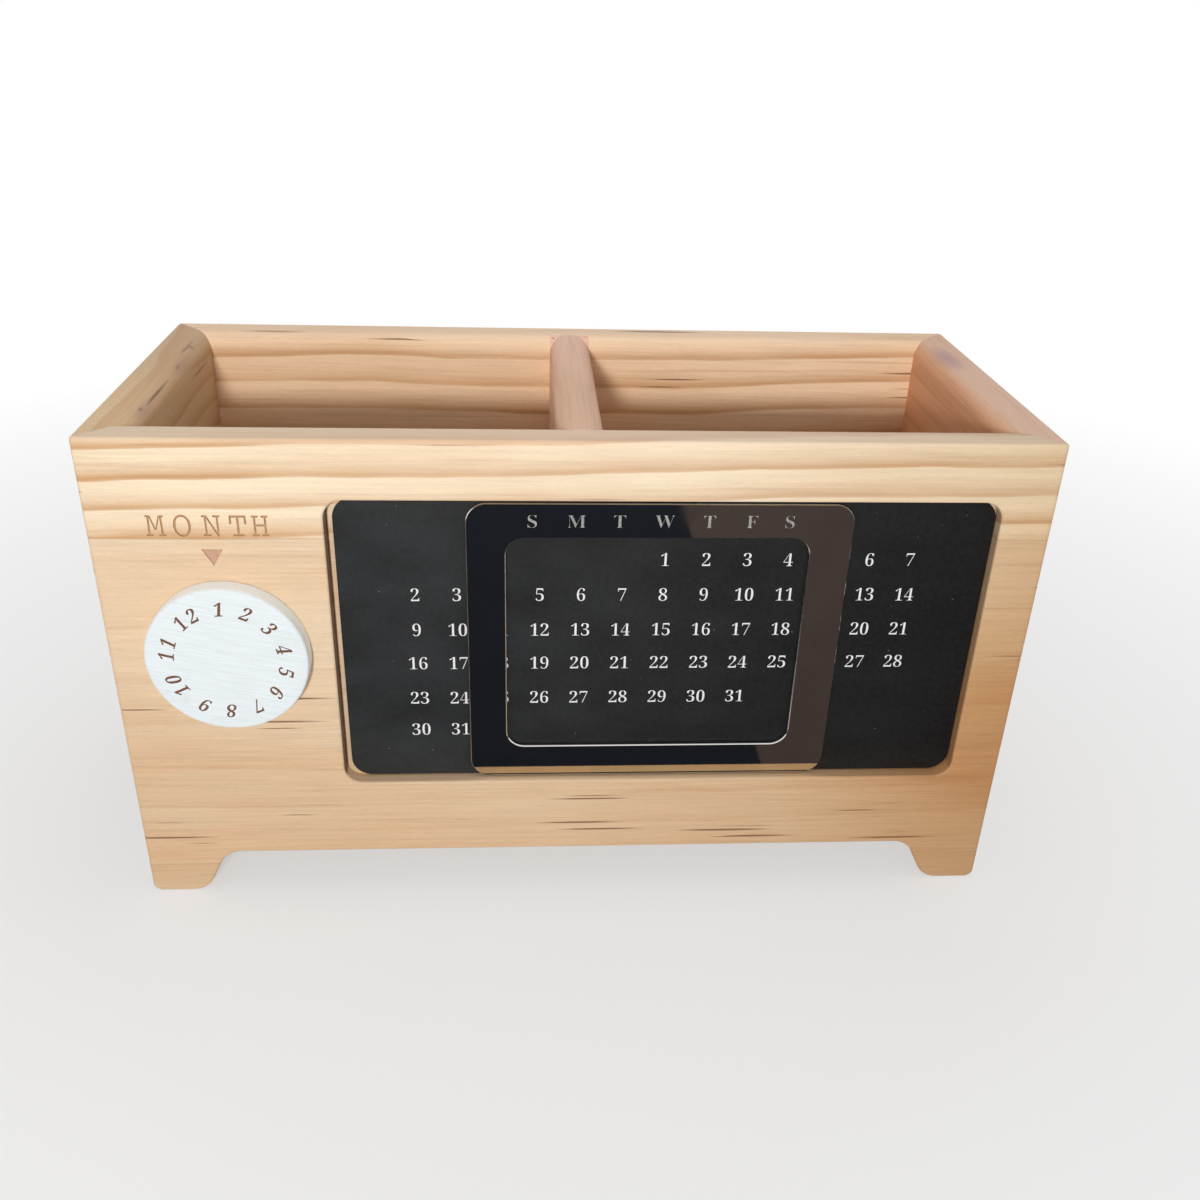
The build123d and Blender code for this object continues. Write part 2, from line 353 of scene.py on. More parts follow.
def glue_lines(tree, height, staves):
    """A mask of the thin lines where two staves meet."""
    mask = 0.0
    for stave in staves[1:]:
        gap = calc(tree, "ABSOLUTE", calc(tree, "SUBTRACT", height, stave["from"]))
        mask = calc(tree, "MAXIMUM", mask, remap(tree, gap, 0.05, 0.30, 1.0, 0.0))
    return mask


print("grain, staves and glue lines ready")

# %% [markdown]
# Pine shows pale early wood and narrow bands of orange late wood. In the log these are rings round its
# heart, so the pattern is the distance from a heart line that runs along the board, divided by the width
# of a year. Two noises bend it: a long wander and a short ripple. Within a year the wood darkens slowly
# and ends sharply, which a ramp with several stops gives. No two years are alike, so white noise changes
# the strength from year to year, and a cloudy noise lets it fade along the board.

# %% Pine: growth rings
late_stops = (
    (0.0, 0.0), (0.30, 0.05), (0.55, 0.30), (0.75, 0.62), (0.88, 1.0), (0.95, 0.90), (1.0, 0.0)
)


def ring_pattern(tree, place, heart, ring_gap, lean, wave):
    """Late wood from 0 to 1, as uneven rings round a heart line, each ending sharply on its outer side."""
    parts = add(tree, "SeparateXYZ", place).outputs
    centre = add(tree, "SeparateXYZ", heart).outputs
    clouds = noise(tree, stretch(tree, place, (0.011, 0.020, 0.020)))
    wander = calc(tree, "MULTIPLY", calc(tree, "SUBTRACT", clouds, 0.5), 2 * wave)
    ripple = calc(tree, "MULTIPLY_ADD", noise(tree, stretch(tree, place, (0.035, 0.12, 0.12))), 1.6, -0.8)
    across = calc(tree, "SUBTRACT", parts[1], centre[0])
    across = calc(tree, "ADD", across, calc(tree, "ADD", wander, ripple))
    across = calc(tree, "MULTIPLY_ADD", parts[0], lean, across)
    deep = calc(tree, "SUBTRACT", parts[2], centre[1])
    squares = calc(tree, "ADD", calc(tree, "POWER", across, 2.0), calc(tree, "POWER", deep, 2.0))
    years = calc(tree, "DIVIDE", calc(tree, "SQRT", squares), ring_gap)
    season = calc(tree, "FRACT", years)
    late = curve(tree, season, *late_stops)
    year = add(tree, "TexWhiteNoise", noise_dimensions="1D")
    feed(tree, year.inputs["W"], calc(tree, "FLOOR", years))
    strength = remap(tree, year.outputs["Value"], 0.0, 1.0, 0.70, 1.0)
    drift = noise(tree, stretch(tree, place, (0.020, 0.07, 0.07)))
    fading = remap(tree, drift, 0.34, 0.60, 0.60, 1.0)
    return calc(tree, "MULTIPLY", calc(tree, "MULTIPLY", late, strength), fading)


print("a year of wood in", len(late_stops), "stops")

# %% [markdown]
# The short dark dashes are resin ducts that the saw has opened. A Voronoi texture cuts the wood into
# cells, and its cells are stretched along the grain. The colour of a cell is a random number: its first
# part decides whether the cell holds a dash, and its second part how long the dash is.

# %% Pine: resin dashes
def resin_dashes(tree, place, share):
    """Short dark dashes along the grain. The share of cells that hold one may vary from place to place."""
    cells = add(tree, "TexVoronoi", voronoi_dimensions="3D", feature="F1")
    feed_named(tree, cells, {"Vector": stretch(tree, place, (0.030, 1.0, 0.48)), "Scale": 1.0})
    chance = add(tree, "SeparateColor", cells.outputs["Color"]).outputs
    reach = remap(tree, chance[1], 0.0, 1.0, 0.14, 0.42)
    dash = remap(tree, calc(tree, "DIVIDE", cells.outputs["Distance"], reach), 0.50, 1.0, 1.0, 0.0)
    return calc(tree, "MULTIPLY", dash, calc(tree, "LESS_THAN", chance[0], share))


print("resin dashes ready")

# %% [markdown]
# Some marks belong to one spot of one board. A stain fades out evenly, as does a wash of painted shade,
# so their mask is an egg. A wall that the router has scorched, with painted shade on it, ends sharply,
# so its mask is a box.

# %% Pine: stains, painted shade and scorched walls
def soft_patch(tree, place, centre, size):
    """A mask that is 1 in the middle of an egg-shaped patch and fades to its edge."""
    offset = add(tree, "VectorMath", place, centre, operation="SUBTRACT").outputs[0]
    scaled = add(tree, "VectorMath", offset, size, operation="DIVIDE").outputs[0]
    reach = add(tree, "VectorMath", scaled, operation="LENGTH").outputs["Value"]
    return remap(tree, reach, 0.25, 1.0, 1.0, 0.0)


def box_mask(tree, place, low, high, softness):
    """A mask that is 1 inside a box and fades out over its last part."""
    middle = [(a + b) / 2 for a, b in zip(low, high)]
    half = [(b - a) / 2 for a, b in zip(low, high)]
    offset = add(tree, "VectorMath", place, middle, operation="SUBTRACT").outputs[0]
    offset = add(tree, "VectorMath", offset, operation="ABSOLUTE").outputs[0]
    offset = add(tree, "VectorMath", offset, half, operation="SUBTRACT").outputs[0]
    sides = add(tree, "SeparateXYZ", offset).outputs
    outside = calc(tree, "MAXIMUM", calc(tree, "MAXIMUM", sides[0], sides[1]), sides[2])
    return remap(tree, outside, -softness, 0.0, 1.0, 0.0)


print("masks for stains and scorches ready")

# %% [markdown]
# The finish of one board is built up in the order in which the real one came to be: the early wood and
# its clouds, the late wood, the fibre and the pores, then the resin, the glue lines and at last the marks
# of use. The numbers in a stretch are clouds per millimetre along the grain, across the face and into the
# board. A board's own marks are given as lists:
#
# - dash bands, with middle height, reach and extra share of dashes
# - tints and painted light, with the part of the place, its start and end, and the colour to multiply by
# - painted shade washes, with centre, size and the colour to multiply by
# - patches, with centre, size, colour and strength
# - scorches with painted shade, with low corner, high corner and strength

# %% Pine: the finish of one board
late_wood = (0.560, 0.275, 0.095)
warm_cloud = (0.735, 0.480, 0.285)
resin = (0.170, 0.062, 0.020)
glue_line = (0.330, 0.170, 0.075)
scorch_and_shade_brown = (0.150, 0.055, 0.025)
scorch_and_shade_softness = 0.25


def pine(
    name, axes, staves, shift=(0, 0, 0), lean=0.0, wave=5.0, dash_share=0.05,
    dash_bands=(), tints_and_painted_light=(), painted_shade_washes=(), patches=(), scorches=(),
):
    """Pine for one board. Axes name the directions along the grain, across it and into the board."""
    material, tree, shader = new_finish(name)
    here = millimetres(tree)
    place = grain_place(tree, axes, shift)
    unshifted = add(tree, "SeparateXYZ", grain_place(tree, axes, (0, 0, 0))).outputs
    height = unshifted[1]

    early = pick_stave(tree, height, staves, "early")
    heart = pick_stave(tree, height, staves, "heart")
    contrast, ring_gap, _ = add(tree, "SeparateXYZ", pick_stave(tree, height, staves, "rings")).outputs
    late = ring_pattern(tree, place, heart, ring_gap, lean, wave)

    fibre = noise(tree, stretch(tree, place, (0.05, 1.5, 1.5)), 3.0, 0.6)
    pores = noise(tree, stretch(tree, place, (0.55, 6.0, 6.0)), 2.0, 0.6)
    clouds = noise(tree, stretch(tree, place, (0.014, 0.045, 0.045)), 2.0)
    streaks = noise(tree, stretch(tree, place, (0.022, 0.9, 0.9)), 2.0, 0.5)

    colour = blend(tree, remap(tree, clouds, 0.35, 0.68, 0.0, 0.45), early, warm_cloud)
    colour = blend(tree, remap(tree, streaks, 0.58, 0.76, 0.0, 0.28), colour, late_wood)
    colour = blend(tree, calc(tree, "MULTIPLY", late, contrast), colour, late_wood)
    value = calc(tree, "MULTIPLY_ADD", fibre, 0.30, 0.85)
    value = calc(tree, "MULTIPLY", value, calc(tree, "MULTIPLY_ADD", pores, 0.22, 0.89))
    colour = add(tree, "VectorMath", colour, value, operation="MULTIPLY").outputs[0]
    # Tints along one part of the place, some of them painted light and shade.
    for part, start, end, tint in tints_and_painted_light:
        tinted = add(tree, "VectorMath", colour, tint, operation="MULTIPLY").outputs[0]
        colour = blend(tree, remap(tree, unshifted[part], start, end), colour, tinted)

    # Washes of painted shade.
    for centre, size, tint in painted_shade_washes:
        colour = blend(tree, soft_patch(tree, here, centre, size), colour, tint, "MULTIPLY")

    share = calc(tree, "MULTIPLY_ADD", calc(tree, "MULTIPLY", late, contrast), 0.25, dash_share)
    for band_middle, band_reach, band_share in dash_bands:
        away = calc(tree, "ABSOLUTE", calc(tree, "SUBTRACT", height, band_middle))
        extra = remap(tree, away, 0.5 * band_reach, band_reach, band_share, 0.0)
        share = calc(tree, "ADD", share, extra)
    dashes = resin_dashes(tree, place, share)
    colour = blend(tree, calc(tree, "MULTIPLY", dashes, 0.80), colour, resin)
    seams = glue_lines(tree, height, staves)
    colour = blend(tree, calc(tree, "MULTIPLY", seams, 0.30), colour, glue_line)
    for centre, size, tint, strength in patches:
        spot = calc(tree, "MULTIPLY", soft_patch(tree, here, centre, size), strength)
        colour = blend(tree, spot, colour, tint)
    # Scorched walls, darkened further by painted shade.
    for low, high, strength in scorches:
        char_and_shade = remap(tree, fibre, 0.2, 0.7, strength, 0.75 * strength)
        burn_and_shade = calc(tree, "MULTIPLY", box_mask(tree, here, low, high, scorch_and_shade_softness), char_and_shade)
        colour = blend(tree, burn_and_shade, colour, scorch_and_shade_brown)

    sheen = calc(tree, "MULTIPLY_ADD", fibre, 0.25, 0.42)
    feed_named(tree, shader, {"Base Color": colour, "Roughness": sheen, "Specular IOR Level": 0.35})
    open_grain = calc(tree, "ADD", fibre, calc(tree, "MULTIPLY", pores, 0.5))
    depth = calc(tree, "MULTIPLY_ADD", late, 0.5, open_grain)
    depth = calc(tree, "SUBTRACT", depth, calc(tree, "ADD", dashes, seams))
    relief(tree, shader, depth, 0.05 * mm, 0.7)
    return material


def stave(start, early, heart, ring_gap, contrast):
    """One stave of a glued-up board: where it starts, its pale colour, its heart line and its rings."""
    return {"from": start, "early": early, "heart": (*heart, 0.0), "rings": (contrast, ring_gap, 0.0)}


print("pine can be mixed")

# %% [markdown]
# ### The five pine boards
#
# The photograph shows what each board has of its own. The front has a pale top stave with bold orange
# lines, a calmer and warmer middle with painted shade that deepens it to the right of the pocket and,
# warmer, towards the feet, most of its resin dashes low down, and a pale strip at the feet. The back board
# has broad bands. The left rim is golden with small marks on its inner edge, the right rim is pinker with a
# stain near the back corner, painted shade warms and darkens the right board's inner face, and the divider
# is pinkest of all. The router has scorched the two ends of the pocket, where it cut across the grain, and
# painted shade darkens them further, most at the left end.

# %% Pine: one finish for each board
cream = (0.900, 0.755, 0.555)
straw = (0.800, 0.645, 0.465)
peach = (1.000, 0.740, 0.510)
gold = (0.830, 0.590, 0.345)
honey = (0.760, 0.500, 0.275)
rose = (0.840, 0.555, 0.425)
pink = (0.920, 0.590, 0.450)
green_cream = (0.760, 0.620, 0.440)

pocket_left, pocket_right = -52.5, 88.6
pocket_bottom, pocket_top = 32.5, 99.5
board_front, plate_depth = -40.2, -36.0
front_pine = pine(
    "pine front", ("X", "Z", "Y"), lean=-0.020, wave=1.3, dash_share=0.04,
    staves=[
        stave(0.0, green_cream, (-60.0, 20.0), 5.2, 0.25),
        stave(8.0, straw, (70.0, 30.0), 4.6, 0.16),
        stave(92.5, cream, (265.7, -40.0), 6.3, 1.0),
    ],
    dash_bands=[(18.0, 10.0, 0.36), (54.0, 8.0, 0.10)],
    # Painted shade: the front darkens to the right and, warmer, towards the feet, and the wash darkens its
    # lower right.
    tints_and_painted_light=[(0, 0.0, 110.0, (0.80, 0.74, 0.65)), (1, 80.0, 30.0, (0.88, 0.81, 0.74))],
    painted_shade_washes=[((104.0, -40.0, 42.0), (60.0, 40.0, 62.0), (0.85, 0.67, 0.49))],
    patches=[
        ((10.0, -40.0, 104.0), (120.0, 40.0, 14.0), (0.960, 0.840, 0.670), 0.22),
        ((0.0, -35.5, 114.6), (150.0, 12.0, 2.6), (1.000, 0.740, 0.570), 0.50),
    ],
    # Router scorch with painted shade on the pocket's two ends, strongest at the left end.
    scorches=[
        (
            (pocket_left - 1.0, board_front, pocket_bottom),
            (pocket_left + 0.5, plate_depth, pocket_top), 1.0,
        ),
        (
            (pocket_right - 0.5, board_front, pocket_bottom),
            (pocket_right + 1.0, plate_depth, pocket_top), 0.40,
        ),
    ],
)
back_pine = pine(
    "pine back", ("X", "Z", "Y"), shift=(310, 0, 60), lean=-0.004, wave=3.0, dash_share=0.05,
    staves=[
        stave(0.0, green_cream, (-60.0, 150.0), 5.5, 0.5),
        stave(30.0, straw, (150.0, 240.0), 6.0, 0.5),
        stave(78.0, peach, (306.2, 94.0), 7.1, 0.95),
    ],
)
left_pine = pine(
    "pine left", ("Y", "Z", "X"), shift=(-220, 0, 10), lean=0.02, wave=5.0, dash_share=0.05,
    staves=[
        stave(0.0, green_cream, (240.0, -90.0), 5.4, 0.5),
        stave(46.0, gold, (260.0, -85.0), 5.8, 0.6),
    ],
    tints_and_painted_light=[(0, -25.0, 45.0, (0.74, 0.70, 0.68))],
    patches=[
        ((-92.2, 24.0, 113.0), (1.0, 1.6, 1.6), (0.28, 0.15, 0.10), 0.75),
        ((-91.4, 12.0, 112.6), (1.4, 9.0, 3.0), (0.50, 0.29, 0.20), 0.6),
        ((-91.6, 9.0, 112.8), (0.5, 2.4, 1.0), (0.26, 0.13, 0.08), 0.7),
        ((-91.2, -20.0, 112.6), (1.4, 8.0, 3.0), (0.52, 0.31, 0.24), 0.6),
        ((-91.6, -21.0, 112.8), (0.5, 1.5, 1.0), (0.24, 0.11, 0.08), 0.8),
    ],
)
right_pine = pine(
    "pine right", ("Y", "Z", "X"), shift=(150, 0, 45), lean=-0.015, wave=5.0, dash_share=0.06,
    staves=[
        stave(0.0, green_cream, (-140.0, 110.0), 5.2, 0.5),
        stave(38.0, honey, (280.0, 90.0), 5.0, 0.6),
        stave(84.0, rose, (260.0, 140.0), 6.0, 0.35),
    ],
    # Painted shade: the inner face of the right board is made warmer and darker.
    tints_and_painted_light=[(2, 93.0, 90.2, (1.0, 0.80, 0.62))],
    patches=[((94.0, 21.0, 114.0), (3.4, 12.0, 5.0), (0.40, 0.22, 0.26), 0.6)],
)
divider_pine = pine(
    "pine divider", ("Y", "Z", "X"), shift=(60, 0, 15), lean=0.01, wave=5.0, dash_share=0.03,
    staves=[
        stave(0.0, honey, (240.0, 70.0), 5.0, 0.5),
        stave(60.0, pink, (200.0, 10.0), 5.5, 0.30),
    ],
)
pine_boards = (front_pine, back_pine, left_pine, right_pine, divider_pine)
print("pine finishes:", [material.name for material in pine_boards])

# %% [markdown]
# ## The finishes of the small parts
#
# The floor board is plain plywood and the dial's spindle is turned beech. Both are fine-grained, so bands
# and short pores are enough, without rings. The adhesive sheet, the magnets, the zinc plate, the inks and
# the burnt marks share a simpler recipe: one colour, small flecks of a second, and an uneven shine.

# %% Plywood, beech, paper and magnet finishes
def plain_wood(name, axes, pale, dark, pore_scale):
    """Fine-grained wood with short pores, for plywood veneer and for the turned spindle."""
    material, tree, shader = new_finish(name)
    place = grain_place(tree, axes, (17, 5, 3))
    bands = noise(tree, stretch(tree, place, (0.01, 0.16, 0.16)), 3.0)
    pores = noise(tree, stretch(tree, place, (0.25, pore_scale, pore_scale)), 2.0, 0.6)
    colour = blend(tree, remap(tree, bands, 0.3, 0.7), pale, dark)
    speck = remap(tree, pores, 0.58, 0.72, 0.0, 0.45)
    colour = blend(tree, speck, colour, tuple(0.55 * part for part in dark))
    sheen = calc(tree, "MULTIPLY_ADD", pores, 0.2, 0.55)
    feed_named(tree, shader, {"Base Color": colour, "Roughness": sheen, "Specular IOR Level": 0.3})
    relief(tree, shader, pores, 0.05 * mm, 0.6)
    return material


def speckled(name, base, fleck, scale, amount, roughness, metallic=0.0):
    """A plain surface with small flecks and a slightly uneven shine."""
    material, tree, shader = new_finish(name)
    place = millimetres(tree)
    grains = noise(tree, stretch(tree, place, (scale, scale, scale)), 3.0, 0.6)
    clouds = noise(tree, stretch(tree, place, (0.08, 0.08, 0.08)), 2.0)
    colour = blend(tree, remap(tree, grains, 0.45, 0.75, 0.0, amount), base, fleck)
    sheen = calc(tree, "MULTIPLY_ADD", clouds, 0.2, roughness - 0.1)
    feed_named(tree, shader, {"Base Color": colour, "Roughness": sheen, "Metallic": metallic})
    relief(tree, shader, grains, 0.02 * mm, 0.5)
    return material


ply = plain_wood("floor plywood", ("X", "Y", "Z"), (0.70, 0.53, 0.34), (0.55, 0.37, 0.21), 2.2)
beech = plain_wood("turned beech", ("Y", "X", "Z"), (0.68, 0.50, 0.33), (0.58, 0.38, 0.23), 4.0)
tape_film = speckled("adhesive sheet", (0.78, 0.76, 0.68), (0.60, 0.58, 0.50), 1.2, 0.5, 0.45)
magnet_strip = speckled("magnet strip", (0.035, 0.030, 0.028), (0.09, 0.08, 0.07), 3.0, 0.6, 0.6)
zinc = speckled("zinc plate", (0.62, 0.62, 0.60), (0.45, 0.46, 0.46), 1.5, 0.5, 0.34, metallic=1.0)
print("five small finishes")

# %% [markdown]
# The steel plate is painted satin black. Three things keep it from looking like a hole: faint marks of a
# cloth in the paint, a painted bluish sheen that grows towards the left, where the window light comes
# from, and single specks of dust. The specks are Voronoi cells again, each with its own size, and in most
# of the cells it is zero.

# %% Satin black plate and its white print
plate_black, tree, shader = new_finish("satin black")
place = millimetres(tree)
cloth_marks = noise(tree, stretch(tree, place, (0.9, 0.9, 0.9)), 4.0, 0.65)
rubbed_and_sheen_marks = noise(tree, stretch(tree, place, (0.05, 0.05, 0.09)), 3.0)
dust = add(tree, "TexVoronoi", voronoi_dimensions="3D", feature="F1")
feed_named(tree, dust, {"Vector": stretch(tree, place, (0.40, 0.40, 0.40)), "Scale": 1.0})
dust_chance = add(tree, "SeparateColor", dust.outputs["Color"]).outputs[0]
dust_size = remap(tree, dust_chance, 0.4, 1.0, 0.0, 0.060)
specks = calc(tree, "LESS_THAN", dust.outputs["Distance"], dust_size)
colour = blend(tree, remap(tree, cloth_marks, 0.35, 0.7), (0.006, 0.006, 0.006), (0.013, 0.013, 0.014))
# Painted sheen: a bluish lightening of the black that grows towards the left.
along = add(tree, "SeparateXYZ", place).outputs[0]
painted_sheen_right, painted_sheen_left = 80.0, -55.0
painted_sheen = calc(
    tree, "MULTIPLY", remap(tree, along, painted_sheen_right, painted_sheen_left), remap(tree, rubbed_and_sheen_marks, 0.3, 0.7, 0.5, 1.0)
)
colour = blend(tree, calc(tree, "MULTIPLY", painted_sheen, 0.07), colour, (0.34, 0.38, 0.42))
colour = blend(tree, calc(tree, "MULTIPLY", specks, 0.5), colour, (0.28, 0.28, 0.27))
sheen = calc(tree, "MULTIPLY_ADD", rubbed_and_sheen_marks, 0.25, 0.30)
feed_named(tree, shader, {"Base Color": colour, "Roughness": sheen, "Specular IOR Level": 0.25})
relief(tree, shader, cloth_marks, 0.01 * mm, 0.5)

print_white = speckled("screen print white", (0.80, 0.82, 0.83), (0.55, 0.57, 0.58), 2.5, 0.35, 0.5)
print("plate finishes:", plate_black.name, print_white.name)

# %% [markdown]
# The face of the frame is polished to a mirror. A perfect mirror looks like a hole into another room, so
# fingers have left faint smears, where the metal is duller and a little darker. Its bevelled edges are
# rougher and catch the light as a thin bright line. The etched letters are pitted, so they get the
# flecked recipe.

# %% Mirror steel, bare edge and etched steel
def polished(name, base, roughness, smear):
    """Polished metal with faint finger marks in its shine."""
    material, tree, shader = new_finish(name)
    place = millimetres(tree)
    marks = noise(tree, stretch(tree, place, (0.12, 0.12, 0.12)), 3.0, 0.55)
    fine = noise(tree, stretch(tree, place, (0.5, 2.0, 6.0)), 2.0)
    smeared = tuple(0.72 * part for part in base)
    colour = blend(tree, remap(tree, marks, 0.35, 0.7, 0.0, 0.35), base, smeared)
    sheen = remap(tree, marks, 0.4, 0.7, roughness, roughness + smear)
    feed_named(tree, shader, {"Base Color": colour, "Roughness": sheen, "Metallic": 1.0})
    relief(tree, shader, fine, 0.002 * mm, 0.3)
    return material


mirror_face = polished("mirror steel", (0.64, 0.62, 0.60), 0.03, 0.05)
bare_edge = polished("bare steel edge", (0.72, 0.70, 0.67), 0.16, 0.08)
etched_steel = speckled("etched steel", (0.50, 0.50, 0.49), (0.12, 0.12, 0.12), 3.0, 0.9, 0.5, metallic=0.6)
print("frame finishes:", mirror_face.name, bare_edge.name, etched_steel.name)

# %% [markdown]
# The dial is a wooden disc under thin white paint that keeps the marks of the brush. They slant a little
# over the face, so the place is turned about the depth axis before the noise reads it. The rim behind the
# face is painted brighter than the face, a painted highlight where the edge meets the light. The numerals,
# the label and the pointer were made by heat, so they are browns with darker flecks.

# %% White dial paint and burnt numerals
dial_white, tree, shader = new_finish("brushed white paint")
place = millimetres(tree)
slanted = add(tree, "VectorRotate", rotation_type="Y_AXIS")
feed_named(tree, slanted, {"Vector": place, "Angle": radians(-12)})
brush = noise(tree, stretch(tree, slanted.outputs[0], (0.10, 2.4, 2.4)), 3.0, 0.6)
smudge = noise(tree, stretch(tree, place, (0.22, 0.22, 0.22)), 2.0)
colour = blend(tree, remap(tree, brush, 0.35, 0.72), (0.810, 0.880, 0.920), (0.710, 0.775, 0.810))
colour = blend(tree, remap(tree, smudge, 0.62, 0.80, 0.0, 0.35), colour, (0.62, 0.63, 0.62))
# Painted highlight: the rim behind the face gets a brighter colour than the face.
depth = add(tree, "SeparateXYZ", place).outputs[1]
face_depth, rim_depth = -44.4, -44.0
colour = blend(tree, remap(tree, depth, face_depth, rim_depth), colour, (0.93, 0.98, 1.0))
feed_named(tree, shader, {"Base Color": colour, "Roughness": 0.5, "Specular IOR Level": 0.35})
relief(tree, shader, brush, 0.03 * mm, 0.6)

burnt_brown = speckled("burnt numerals", (0.200, 0.085, 0.040), (0.075, 0.030, 0.016), 2.5, 0.8, 0.7)
label_brown = speckled("engraved label", (0.520, 0.310, 0.160), (0.380, 0.200, 0.090), 1.5, 0.8, 0.7)
pointer_brown = speckled("engraved pointer", (0.600, 0.360, 0.250), (0.450, 0.230, 0.150), 1.8, 0.7, 0.7)
print("dial finishes:", dial_white.name, burnt_brown.name)

# %% [markdown]
# ## Helpers for modelling
#
# The new pieces are modelled as by hand: a primitive at its size and place, shaped in edit mode, then
# finished with modifiers that are applied. An operator works on everything that is selected, so each
# step begins with a clean selection. Faces and edges are picked in code, by where they are.

# %% Helpers for picking
def pick(piece):
    """Make one object the selected and active one."""
    bpy.ops.object.select_all(action="DESELECT")
    piece.select_set(True)
    bpy.context.view_layer.objects.active = piece


def set_in_place(piece, name, *finishes):
    """Move an object's place into its mesh, and give it its name and finishes."""
    pick(piece)
    bpy.ops.object.transform_apply(location=True, rotation=True, scale=True)
    piece.name = name
    piece.data.name = name
    for finish in finishes:
        piece.data.materials.append(finish)
    return piece


def select_only(piece, wanted):
    """Enter edit mode with only these edges or faces selected."""
    for part in (*piece.data.vertices, *piece.data.edges, *piece.data.polygons):
        part.select = False
    for part in wanted:
        part.select = True
    bpy.ops.object.mode_set(mode="EDIT")


def pick_edges(piece, chosen, sharp_only=False):
    """Select the edges whose two ends pass a test, of all edges or of the sharp ones."""
    pick(piece)
    bpy.ops.object.mode_set(mode="EDIT")
    bpy.ops.mesh.select_mode(type="EDGE")
    bpy.ops.mesh.select_all(action="DESELECT")
    bpy.ops.mesh.edges_select_sharp(sharpness=radians(35 if sharp_only else 0))
    bpy.ops.object.mode_set(mode="OBJECT")
    points = piece.data.vertices
    select_only(piece, [
        edge for edge in piece.data.edges
        if edge.select and chosen(*(points[index].co for index in edge.vertices))
    ])


def pick_faces(piece, chosen):
    """Select the faces whose middle and normal pass a test."""
    pick(piece)
    bpy.ops.object.mode_set(mode="EDIT")
    bpy.ops.mesh.select_mode(type="FACE")
    bpy.ops.object.mode_set(mode="OBJECT")
    select_only(piece, [face for face in piece.data.polygons if chosen(face.center, face.normal)])


def leave_edit():
    """Go back to object mode, which writes the edited shape into the mesh."""
    bpy.ops.object.mode_set(mode="OBJECT")


print("pieces, edges and faces can be picked")

# %% [markdown]
# Type that is engraved, etched or burnt in is cut with a Boolean modifier. The exact solver keeps the
# result a closed solid, and its transfer mode lets the new faces keep the finish of the tool, so each cut
# comes out in its own colour. Rounded faces are then shaded smooth, and edges over an angle stay crisp.

# %% Helpers for cutting and smoothing
def cut(piece, tool):
    """Cut one mesh with another, let the cut faces keep the tool's finish, and remove the tool."""
    pick(piece)
    modifier = piece.modifiers.new("cut", "BOOLEAN")
    modifier.operation = "DIFFERENCE"
    modifier.solver = "EXACT"
    modifier.material_mode = "TRANSFER"
    modifier.object = tool
    bpy.ops.object.modifier_apply(modifier=modifier.name)
    bpy.data.objects.remove(tool)


def smooth_by_angle(piece, angle=30):
    """Shade the rounded faces smooth and keep the real edges crisp."""
    pick(piece)
    bpy.ops.object.shade_smooth_by_angle(angle=radians(angle))


print("meshes can be cut and smoothed")

# %% [markdown]
# ## Type
#
# The box, plate, frame and dial carry plain serif type: the days, the weekday initials and the twelve
# months by number. Blender's own font has the mathematical digits and capitals, of which the bold ones
# have serifs and the ones of even width look like a typewriter's, so no font file is needed. Each style
# fills its own share of the text size with the height of a letter. A negative offset thins the strokes
# of the print, and a shear makes the numerals of the dial slant. Each piece of type is made a closed
# solid before it is put in its place.

# %% Type as solids
bold = {"first_digit": 0x1D7CE, "first_capital": 0x1D400, "height": 0.69}
typewriter = {"first_digit": 0x1D7F6, "first_capital": 0x1D670, "height": 0.58}


def styled(text, style):
    """The same text in the letters and digits of one style."""
    swap = {str(digit): chr(style["first_digit"] + digit) for digit in range(10)}
    swap.update({chr(65 + place): chr(style["first_capital"] + place) for place in range(26)})
    return "".join(swap.get(letter, letter) for letter in text)


def type_solid(text, height, thickness, finish, style=bold, width=1.0, thin=0.0, slant=0.0):
    """Type of a given height as a closed solid about the origin, facing the front."""
    bpy.ops.object.select_all(action="DESELECT")
    bpy.ops.object.text_add()
    piece = bpy.context.object
    piece.data.body = styled(text, style)
    piece.data.size = height / style["height"]
    piece.data.extrude = thickness / 2
    piece.data.offset = -thin
    piece.data.shear = slant
    piece.data.resolution_u = 4
    bpy.ops.object.convert(target="MESH")
    piece = bpy.context.object
    bpy.ops.object.mode_set(mode="EDIT")
    bpy.ops.mesh.select_all(action="SELECT")
    bpy.ops.mesh.remove_doubles(threshold=0.0005 * mm)
    bpy.ops.mesh.normals_make_consistent(inside=False)
    leave_edit()
    bpy.ops.object.origin_set(type="ORIGIN_GEOMETRY", center="BOUNDS")
    piece.location = (0, 0, 0)
    piece.rotation_euler = (radians(90), 0, 0)
    piece.scale = (width, 1, 1)
    bpy.ops.object.transform_apply(location=True, rotation=True, scale=True)
    piece.data.materials.append(finish)
    return piece


def put(piece, place, turn=0.0):
    """Turn a piece of type clockwise, seen from the front, and move it to its place."""
    piece.rotation_euler = (0, turn, 0)
    piece.location = place
    bpy.ops.object.transform_apply(location=True, rotation=True, scale=False)
    return piece


def join(pieces, name):
    """Join meshes into one object."""
    bpy.ops.object.select_all(action="DESELECT")
    for piece in pieces:
        piece.select_set(True)
    bpy.context.view_layer.objects.active = pieces[0]
    bpy.ops.object.join()
    joined = bpy.context.object
    return set_in_place(joined, name)


print("type can be set")

# %% [markdown]
# ## The printed days
#
# The plate shows thirteen columns of days, so that the frame's seven-column window can stand over any
# order of the week. Day one stands in the seventh column of the first row, and the days grow by one from
# column to column and by seven from row to row, so a day follows from its row and column. The print is a
# film of white ink, thinner than the gap that the magnets slide in, and each number is a thin solid that
# lies on the plate.

